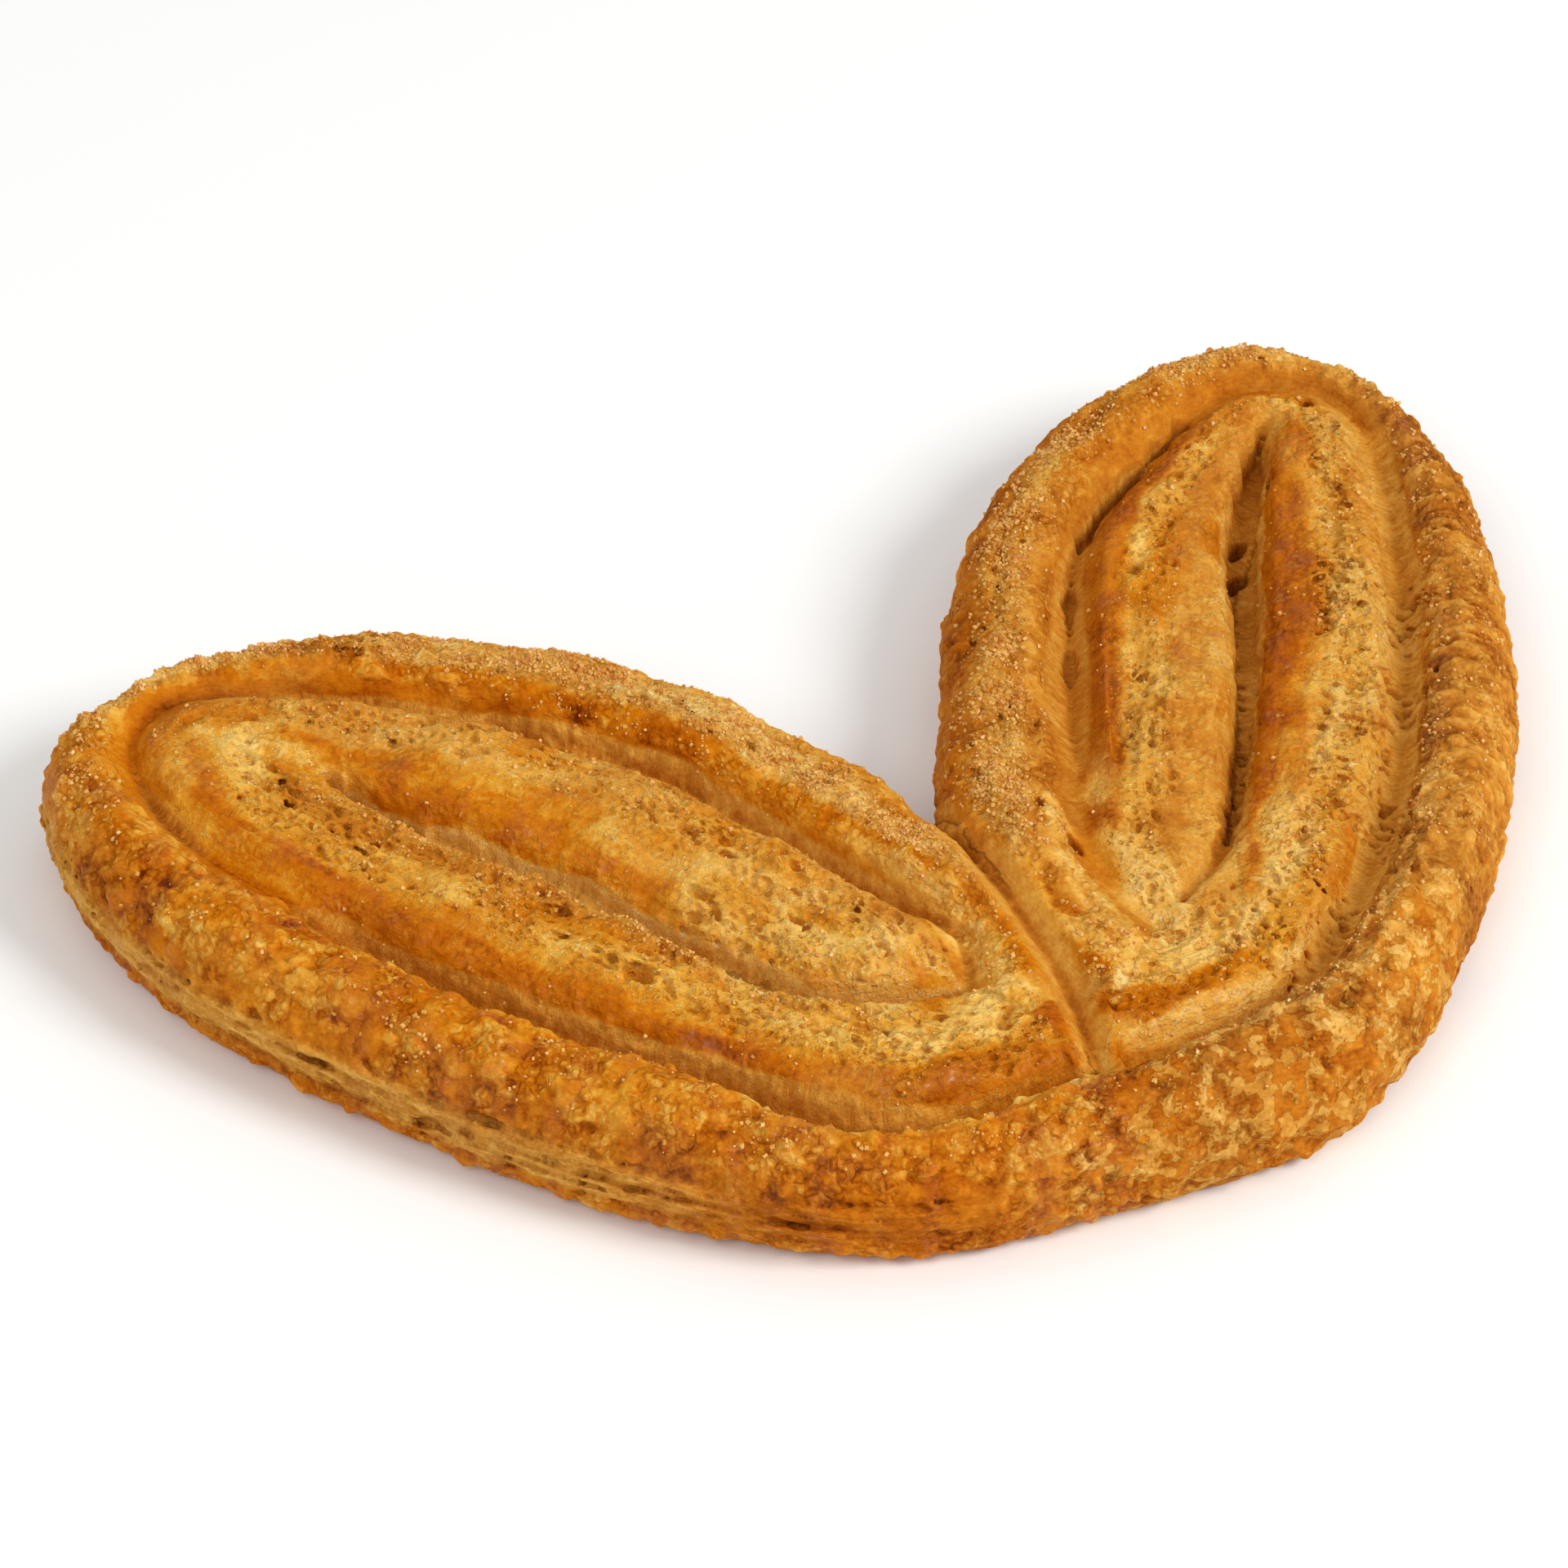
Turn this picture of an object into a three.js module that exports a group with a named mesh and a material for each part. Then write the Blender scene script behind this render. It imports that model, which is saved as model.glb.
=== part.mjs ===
import * as THREE from 'three';
import { mergeVertices } from 'three/addons/utils/BufferGeometryUtils.js';

// A palmier: one ribbon of puff pastry rolled in from both ends, sliced and baked lying on its cut face.
// Millimetres, +Z up, the heart's point towards -Y, the origin under the middle of the heart.

// Heights above the tray.
const foldHeight = 14.2;   // top of the outer folds
const dishing = 1.1;       // how much lower the inner folds stand
const dishStart = 11;      // distance from the rim where the dishing starts
const dishEnd = 20;        // and where it is complete
const bulgeHeight = 6.5;   // where the side bulges out furthest
const seamFloor = 9.5;     // bottom of the seam between the two rolls
const seamHalf = 0.3;      // half the width of its floor

// How far from a crease its rounded shoulders reach.
const rimShoulder = 6.2;
const grooveShoulder = 4.4;
const seamShoulder = 3.6;
const creaseMeeting = 3;   // power that joins the slopes of neighbouring creases

// Uneven rise of the dough: length and height of its gentle waves.
const waveLength = 23;
const waveHeight = 0.35;

// The side below the bulge: height above the tray and inset from the bulge.
const sideRows = [
  { height: 3.6, inset: 0.5 },
  { height: 1.5, inset: 1.3 },
  { height: 0.3, inset: 2.6 },
  { height: 0, inset: 3.4 },
];

// Where the surface is divided: distances from the edge of a crease's floor, and distances from the rim.
const creaseRows = [0, 0.35, 1.1, 2.4];
const rimRows = [0.2, 0.9, 2.1, 3.9];
const stepsPerSpoke = 6;

// Spokes of a roll run from its fissure over the groove to the rim. They start at the heart's point,
// go up the free side, round the far end and back to the notch, then down the seam to the junction.
const tipSpoke = 5;        // first spoke at the far end of the fissure
const returnSpoke = 8;     // last spoke there
const innerEndSpoke = 13;  // spoke at the inner end of the ribbon
const lastSpoke = 15;

const heel = [-10.5, -51.2];      // where the point of the heart starts
const junction = [-4.8, -41.8];   // where both rolls meet the outer fold
const notch = [0.4, -2.3];
const seam = [notch, [0.2, -17], [-1.6, -30.5], junction];

// Each groove and fissure also has the height of its floor and half the width of that floor.
const leftRoll = {
  rim: [
    heel, [-28.7, -46.6], [-46.6, -31.6], [-61.7, -9.1], [-72.8, 15], [-75.2, 34],
    [-71.3, 47.5], [-57, 53.6], [-39, 51], [-22, 40.2], [-10.7, 26.5], [-3, 11.6], notch,
  ],
  groove: [
    junction, [-25.8, -38.6], [-36.6, -24.2], [-49.5, -5.5], [-58.2, 11.6], [-65.2, 31],
    [-63, 44], [-56.6, 47.2], [-43.8, 41.1], [-31, 30.8], [-19.7, 16.1], [-12.5, -2], [-9, -12],
    [-5.8, -19], [-5, -28.5], junction,
  ],
  grooveFloor: [10, 8.2, 8, 8, 8.4, 9.6, 11, 11.2, 10.4, 9.8, 8.6, 8.4, 9, 10],
  grooveHalf: [0.8, 1.2, 1.3, 1.4, 1.2, 0.8, 0.4, 0.4, 0.7, 0.9, 1.2, 1.1, 0.9, 0.7, 0.7, 0.8],
  fissure: [[-9.3, -25.6], [-21.5, -20.3], [-28.8, -7.7], [-34.9, 5.9], [-42, 17.3], [-48.8, 30.5]],
  fissureFloor: [9.8, 9, 8.4, 8, 8.2, 11.6],
  fissureHalf: [0.4, 1, 1.2, 1.3, 1.3, 0.2],
};

const rightRoll = {
  rim: [
    heel, [16, -52.6], [39, -38.4], [57.6, -17.5], [69.7, 3.6], [76, 24.5],
    [72.8, 41.5], [64, 48.4], [48.5, 48.3], [31, 40.2], [17.8, 26], [8.6, 11.4], notch,
  ],
  groove: [
    junction, [17.8, -40.2], [35.8, -26], [48, -11.6], [59.5, 7], [68, 26],
    [67.8, 35.2], [60.8, 40], [47, 35], [34, 27], [24.8, 13.2], [17, -1.2], [11.3, -12],
    [8.2, -22.6], [2.4, -31], junction,
  ],
  grooveFloor: [10, 8.2, 8.8, 8.8, 8.8, 9.6, 11, 11, 9.4, 8.4, 7.2, 6.8, 9.8, 10.8],
  grooveHalf: [0.8, 1.2, 1.1, 1, 1, 0.8, 0.4, 0.3, 0.3, 0.5, 2, 2.2, 0.8, 0.4, 0.6, 0.8],
  fissure: [[9.9, -27.3], [21.5, -20.5], [30.6, -9.2], [40.5, 5], [49.8, 21.2], [59.8, 33.8]],
  fissureFloor: [11, 10.2, 8.8, 8.2, 6.4, 11],
  fissureHalf: [0.3, 0.5, 0.6, 0.9, 1.5, 0.3],
};

function curveThrough(points) {
  return new THREE.CatmullRomCurve3(points.map(([x, y]) => new THREE.Vector3(x, y, 0)));
}

// A value that changes evenly from each entry of a list to the next.
function between(list, position) {
  const index = Math.min(Math.floor(position), list.length - 2);
  return THREE.MathUtils.lerp(list[index], list[index + 1], position - index);
}

// The point of a curve that lies at a spoke, or part of the way to the next one.
function atSpoke(curve, spoke) {
  return curve.getPoint(THREE.MathUtils.clamp(spoke / (curve.points.length - 1), 0, 1));
}

// The whole rim is one curve, so that it passes smoothly through the heart's point.
const rimCurve = curveThrough([...leftRoll.rim.slice(1).reverse(), ...rightRoll.rim]);
const seamCurve = curveThrough(seam);
const notchSpoke = leftRoll.rim.length - 1;

function prepareRoll(roll, side) {
  return {
    ...roll,
    side,
    grooveCurve: curveThrough(roll.groove),
    fissureCurve: curveThrough(roll.fissure),
  };
}

const rolls = [prepareRoll(leftRoll, -1), prepareRoll(rightRoll, 1)];

function outerPoint(roll, spoke) {
  if (spoke > notchSpoke) {
    return atSpoke(seamCurve, spoke - notchSpoke);
  }
  return atSpoke(rimCurve, notchSpoke + roll.side * spoke);
}

function fissurePlace(roll, spoke) {
  const last = roll.fissure.length - 1;
  if (spoke < tipSpoke) {
    return spoke;
  }
  if (spoke <= returnSpoke) {
    return last;
  }
  return Math.max(innerEndSpoke - spoke, 0);
}

function fissurePoint(roll, spoke) {
  return atSpoke(roll.fissureCurve, fissurePlace(roll, spoke));
}

// A crease is a chain of points, each with its floor's height and half width.
function creasePoint(point, floor, half) {
  return { x: point.x, y: point.y, floor, half };
}

function sampled(lastPlace, makePoint) {
  const count = Math.round(lastPlace * stepsPerSpoke);
  return Array.from({ length: count + 1 }, (_, index) => makePoint(index / stepsPerSpoke));
}

// The crease of a roll spirals in: along the groove, round the ribbon's inner end, then up the fissure.
function spiralCrease(roll) {
  const groove = sampled(innerEndSpoke, (place) => creasePoint(
    atSpoke(roll.grooveCurve, place), between(roll.grooveFloor, place), between(roll.grooveHalf, place)));
  const fissure = sampled(roll.fissure.length - 1, (place) => creasePoint(
    atSpoke(roll.fissureCurve, place), between(roll.fissureFloor, place), between(roll.fissureHalf, place)));
  return [...groove, ...fissure];
}

const rimCrease = sampled(2 * notchSpoke, (place) => creasePoint(atSpoke(rimCurve, place), bulgeHeight, 0));
const seamCrease = sampled(seam.length - 1, (place) =>
  creasePoint(atSpoke(seamCurve, place), seamFloor, seamHalf));
const creases = [
  { line: rimCrease, shoulder: rimShoulder },
  { line: seamCrease, shoulder: seamShoulder },
  ...rolls.map((roll) => ({ line: spiralCrease(roll), shoulder: grooveShoulder })),
];

// The nearest place on a crease: how far off the edge of its floor is, and how low the floor lies there.
function nearestPlace(line, x, y) {
  let nearest = { fromLine: Infinity };
  for (let index = 0; index + 1 < line.length; index += 1) {
    const start = line[index];
    const end = line[index + 1];
    const dx = end.x - start.x;
    const dy = end.y - start.y;
    const along = ((x - start.x) * dx + (y - start.y) * dy) / (dx * dx + dy * dy || 1);
    const part = THREE.MathUtils.clamp(along, 0, 1);
    const fromLine = Math.hypot(x - start.x - part * dx, y - start.y - part * dy);
    if (fromLine < nearest.fromLine) {
      const half = THREE.MathUtils.lerp(start.half, end.half, part);
      const floor = THREE.MathUtils.lerp(start.floor, end.floor, part);
      nearest = { fromLine, distance: Math.max(fromLine - half, 0), floor };
    }
  }
  return nearest;
}

function waves(x, y) {
  const turn = (2 * Math.PI) / waveLength;
  const across = Math.sin(turn * x + 1.7 * Math.sin(0.6 * turn * y));
  const along = Math.sin(1.3 * turn * y - 0.5 * turn * x);
  return waveHeight * (across + along);
}

// Height of the top surface. Every crease pulls it down along a round shoulder.
function topHeight(x, y) {
  const places = creases.map((crease) => nearestPlace(crease.line, x, y));
  const rimDistance = places[0].distance;
  const dished = dishing * THREE.MathUtils.smoothstep(rimDistance, dishStart, dishEnd);
  const crest = foldHeight - dished + waves(x, y);
  let lowering = 0;
  creases.forEach((crease, index) => {
    const { distance, floor } = places[index];
    const away = Math.min(distance / crease.shoulder, 1);
    const drop = (crest - floor) * (1 - Math.sqrt(1 - (1 - away) ** 2));
    lowering += drop ** creaseMeeting;
  });
  return crest - lowering ** (1 / creaseMeeting);
}

// Where a spoke's stretch of a given length is divided: closely at its two ends, once in the middle.
function rowPlaces(length, startRows, endRows) {
  const reach = startRows.at(-1) + endRows.at(-1);
  const fit = Math.min(1, (0.92 * length) / reach) / (length || 1);
  const start = [0, ...startRows.map((distance) => distance * fit)];
  const end = [0, ...endRows.map((distance) => distance * fit)].map((place) => 1 - place).reverse();
  return [...start, (start.at(-1) + end[0]) / 2, ...end];
}

function spread(rows, half) {
  return rows.map((distance) => distance + Math.max(half, 0.1));
}

// One stretch of a spoke as points on the surface. The rim keeps its height, so that top and side meet on it.
function surfaceRow(start, end, startRows, endRows, endsOnRim) {
  const points = rowPlaces(start.distanceTo(end), startRows, endRows).map((place) => {
    const point = start.clone().lerp(end, place);
    return point.setZ(topHeight(point.x, point.y));
  });
  if (endsOnRim) {
    points.at(-1).z = bulgeHeight;
  }
  return points;
}

// A whole spoke, from the fissure over the groove to the rim or the seam.
function spokePoints(roll, spoke) {
  const fissure = fissurePoint(roll, spoke);
  const groove = atSpoke(roll.grooveCurve, spoke);
  const outer = outerPoint(roll, spoke);
  const fissureRows = spread(creaseRows, between(roll.fissureHalf, fissurePlace(roll, spoke)));
  const grooveRows = spread(creaseRows, between(roll.grooveHalf, spoke));
  const onRim = spoke <= notchSpoke;
  return [
    ...surfaceRow(fissure, groove, fissureRows, grooveRows, false),
    ...surfaceRow(groove, outer, grooveRows, onRim ? rimRows : spread(creaseRows, seamHalf), onRim).slice(1),
  ];
}

const triangles = [];

function addTriangle(a, b, c) {
  const flat = a.distanceTo(b) < 1e-4 || b.distanceTo(c) < 1e-4 || c.distanceTo(a) < 1e-4;
  if (!flat) {
    triangles.push(a, b, c);
  }
}

// Joins two rows of points that have the same length.
function addRows(lower, upper) {
  for (let index = 0; index + 1 < lower.length; index += 1) {
    addTriangle(lower[index], lower[index + 1], upper[index + 1]);
    addTriangle(lower[index], upper[index + 1], upper[index]);
  }
}

function addRollTop(roll) {
  const spokes = sampled(lastSpoke, (spoke) => spokePoints(roll, spoke));
  for (let index = 0; index + 1 < spokes.length; index += 1) {
    const pair = [spokes[index], spokes[index + 1]];
    addRows(...(roll.side > 0 ? pair : pair.reverse()));
  }
}

// The rim in order round the heart, with the direction that points out of the pastry at each point.
function rimLoop() {
  const count = 2 * notchSpoke * stepsPerSpoke;
  const points = Array.from({ length: count }, (_, index) => atSpoke(rimCurve, index / stepsPerSpoke));
  return points.map((point, index) => {
    const before = points[(index + count - 1) % count];
    const after = points[(index + 1) % count];
    const out = new THREE.Vector3(after.y - before.y, before.x - after.x, 0).normalize();
    return { point, out };
  });
}

function addSideAndBase() {
  const loop = rimLoop();
  const rows = [{ height: bulgeHeight, inset: 0 }, ...sideRows].map(({ height, inset }) =>
    loop.map(({ point, out }) => point.clone().addScaledVector(out, -inset).setZ(height)));
  for (let row = 0; row + 1 < rows.length; row += 1) {
    addRows([...rows[row + 1], rows[row + 1][0]], [...rows[row], rows[row][0]]);
  }
  const base = rows.at(-1);
  const faces = THREE.ShapeUtils.triangulateShape(base.map(({ x, y }) => new THREE.Vector2(x, y)), []);
  for (const [a, b, c] of faces) {
    addTriangle(base[a], base[c], base[b]);
  }
}

rolls.forEach(addRollTop);
addSideAndBase();

const geometry = mergeVertices(new THREE.BufferGeometry().setFromPoints(triangles), 1e-4);
geometry.computeBoundingBox();
const middle = geometry.boundingBox.getCenter(new THREE.Vector3());
geometry.translate(-middle.x, -middle.y, 0);
geometry.computeVertexNormals();

const bakedPastry = new THREE.MeshStandardMaterial({ color: 0xc98a3c, roughness: 0.55, metalness: 0 });
const palmierMesh = new THREE.Mesh(geometry, bakedPastry);
palmierMesh.name = 'palmier';

const palmier = new THREE.Group();
palmier.add(palmierMesh);

export default palmier;
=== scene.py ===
import math

import bpy
import numpy as np
import openvdb
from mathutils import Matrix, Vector


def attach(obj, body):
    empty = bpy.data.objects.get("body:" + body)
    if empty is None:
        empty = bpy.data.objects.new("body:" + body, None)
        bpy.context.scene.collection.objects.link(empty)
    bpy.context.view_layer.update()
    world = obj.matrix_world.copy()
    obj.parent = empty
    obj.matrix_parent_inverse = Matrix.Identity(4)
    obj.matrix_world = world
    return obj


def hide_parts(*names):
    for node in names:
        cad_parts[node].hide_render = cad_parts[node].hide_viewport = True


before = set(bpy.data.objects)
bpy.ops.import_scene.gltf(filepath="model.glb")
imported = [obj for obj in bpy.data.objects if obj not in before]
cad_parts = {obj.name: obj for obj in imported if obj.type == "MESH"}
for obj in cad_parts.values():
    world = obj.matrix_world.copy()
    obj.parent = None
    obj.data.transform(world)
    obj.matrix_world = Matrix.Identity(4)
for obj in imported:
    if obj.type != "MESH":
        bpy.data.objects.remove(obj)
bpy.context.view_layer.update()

# A palmier: a ribbon of puff pastry rolled in from both ends, sliced and baked lying down.
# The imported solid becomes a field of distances, the baked relief is carved into that field,
# and the field is meshed again. Lengths are millimetres until a mesh is made.
mm = 0.001

# creases, spots and streaks are places in the drawing of the dough, as seen from above
dough = {
    "voxel": 0.3,       # finest relief of the mesh
    "band": 2.4,                          # how far from the surface the field is kept
    "smoothing": 0.3,                     # softens the solid's own facets
    "merging": 0.01,                      # how readily flat faces become one, for the underside
    "seed": 7,
    "crest": 14.2,                        # top of the outer band, and how much lower the roll's middle is
    "sink": 1.1,
    "heel": (-10.5, -51.2),
    "junction": (-4.8, -41.8),
    "notch": (0.4, -2.3),
    "seam": [(0.2, -17), (-1.6, -30.5)],
    "leftRim": [(-28.7, -46.6), (-46.6, -31.6), (-61.7, -9.1), (-72.8, 15), (-75.2, 34), (-71.3, 47.5),
                (-57, 53.6), (-39, 51), (-22, 40.2), (-10.7, 26.5), (-3, 11.6)],
    "leftGroove": [(-25.8, -38.6), (-36.6, -24.2), (-49.5, -5.5), (-58.2, 11.6), (-65.2, 31), (-63, 44),
                   (-56.6, 47.2), (-43.8, 41.1), (-31, 30.8), (-19.7, 16.1), (-12.5, -2), (-9, -12)],
    "leftFissure": [(-9.3, -25.6), (-21.5, -20.3), (-28.8, -7.7), (-34.9, 5.9), (-42, 17.3), (-48.8, 30.5)],
    "rightRim": [(16, -52.6), (39, -38.4), (57.6, -17.5), (69.7, 3.6), (76, 24.5), (72.8, 41.5),
                 (64, 48.4), (48.5, 48.3), (31, 40.2), (17.8, 26), (8.6, 11.4)],
    "rightGroove": [(17.8, -40.2), (35.8, -26), (48, -11.6), (59.5, 7), (68, 26), (67.8, 35.2), (60.8, 40),
                    (47, 35), (34, 27), (24.8, 13.2), (17, -1.2), (11.3, -12)],
    "rightFissure": [(9.9, -27.3), (21.5, -20.5), (30.6, -9.2), (40.5, 5), (49.8, 21.2), (59.8, 33.8)],
    # turned ends of the ribbon, where the crumb shows: place, reach along and across
    "turnEnds": [(-9, -32, 13, 9), (9, -31, 11, 9), (-21, -12, 14, 9)],
}

# where the crumb starts and ends across each band, as shares of the way from its groove to its fissure
crumbShares = {
    "leftFront": (0.30, 0.42, 0.72, 0.82), "leftBack": (0.12, 0.22, 0.42, 0.58),
    "rightFront": (0.20, 0.30, 0.50, 0.60), "rightBack": (0.26, 0.36, 0.52, 0.62),
}

# relief of each kind of surface, as heights in millimetres
relief = {
    "swell": 0.14, "lumps": 0.22, "pebbles": 0.12, "grit": 0.06,
    "scales": 0.20, "ridges": 0.22, "threads": 0.11, "sheets": 0.26, "slits": 0.55,
    "reach": 1.6,                         # how far from the surface it is worked out
    "deepest": 1.2, "highest": 0.8, "inset": 0.04,
    # single holes: place, reach along and across the ribbon, depth
    "holes": [(-36.6, -10.9, 1.6, 1.1, 1.6), (-40.1, -2.7, 0.8, 0.5, 1.0), (-10.3, -33.3, 1.2, 0.7, 1.4),
              (-8.6, -31.5, 0.8, 0.6, 1.2), (35.5, 18.7, 1.4, 0.8, 1.3), (8.5, -8.5, 0.8, 0.5, 1.2),
              (9, -14, 1.8, 0.7, 1.4), (-25.5, -25.5, 1.2, 0.7, 1.1), (47.5, 18.5, 2.2, 0.9, 3.2),
              (50.5, 23, 1.6, 0.6, 2.2), (1.0, -44.2, 3.2, 0.5, 2.2), (6.0, -43.4, 3.0, 0.4, 1.8),
              (45, 34.5, 4.0, 0.5, 1.6)],
    "holeSink": 0.3, "paintedHoleShade": 0.12,
}

# creases that are raised to shallow valleys: height of the floor, how fast it rises to the sides, and reach
# to each side; pairs are (number of the crease's point, value)
valleys = {
    "seam": {"floor": 10.8, "rise": 0.8, "reach": 2.2},
    "leftTip": {"floor": 11.3, "rise": 0.6, "reach": 3.4},
    "rightGroove": {"floor": [(0, 9.8), (4.0, 9.8), (5.2, 11.6), (8, 11.8), (8.8, 10.0), (9.8, 8.8),
                              (10.7, 9.2), (11.3, 11.2), (12, 11.6)],
                    "rise": [(8.4, 0.3), (9.4, 1.0), (10.8, 1.0), (11.4, 0.3)], "reach": 3.4},
}
valleyEdge = {"width": 6, "fadeDepth": 9, "softness": 1.2}

# trenches with steep walls along creases: height of the floor, and half width at the crease's points;
# none is cut where the half width is below 0
trenches = {
    "leftFissure": {"floor": 8.4, "halfWidth": [(0, 0.4), (0.8, 1.2), (3.6, 1.5), (5, 0.4)]},
    "rightFissure": {"floor": 8.2, "halfWidth": [(0, -1), (1.4, 0.1), (2.4, 0.9), (4.4, 1.1), (5, 0.3)]},
    "leftGroove": {"floor": 8.6, "halfWidth": [(0, -0.2), (1, 0.9), (2.8, 1.1), (3.6, 0.3), (4.2, -1),
                                               (7.8, -1), (9, 0.9), (11.4, 0.8), (12.2, 0.1), (13, -1)]},
    "rightGroove": {"floor": 8.4, "halfWidth": [(0, -0.6), (0.8, -2), (7, -2), (7.6, 0), (9.2, 0.1),
                                                (10.1, 0.4), (10.5, -0.2), (10.8, -2)]},
}
trenchWall = {"slope": 0.14, "width": 3.5, "wobble": 0.3, "fineWobble": 0.12}

# what is strewn over the surface and melted into it, or left out of it by the steam: zone, how many, radii
# along the ribbon, across it and up, and tone, which is below 0 for paler and above 0 for browner; inside
# carved pores, webs and layer slits the browner tone is painted shade
scattered = [
    ("blister", 1500, (0.35, 1.3), (0.3, 0.9), (0.26, 0.5), -0.16),
    ("bark", 1100, (0.3, 0.7), (0.4, 0.9), (0.15, 0.28), -0.06),
    ("flake", 320, (0.5, 1.6), (0.4, 1.1), (0.14, 0.24), -0.12),
    ("strip", 900, (0.25, 0.5), (0.2, 0.45), (0.16, 0.28), -0.06),
    ("ridge", 500, (0.3, 0.9), (0.25, 0.6), (0.2, 0.36), -0.06),
    ("crumb", 2600, (0.25, 0.7), (0.2, 0.36), (-0.3, -0.6), 0.0),
    ("crumb", 200, (0.5, 1.1), (0.35, 0.6), (-0.5, -1.0), 0.02),
    ("comb", 520, (0.2, 0.36), (0.5, 1.0), (-0.45, -0.9), 0.0),
    ("web", 420, (0.22, 0.45), (0.3, 0.7), (-0.5, -1.0), 0.04),
    ("strip", 200, (0.3, 0.8), (0.2, 0.34), (-0.3, -0.6), 0.03),
    ("layers", 420, (0.3, 1.1), (0.35, 0.8), (0.1, 0.2), 0.12),
]
strewing = {"lowest": 1.2, "layerHeights": (2.6, 3.6, 8.0, 9.4), "rimFade": (1.0, 3.0), "turn": 0.3,
            "mostlySmall": 1.6, "toneSpread": (0.5, 1.3), "lumpSink": 0.1, "poreSink": 0.25}

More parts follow.
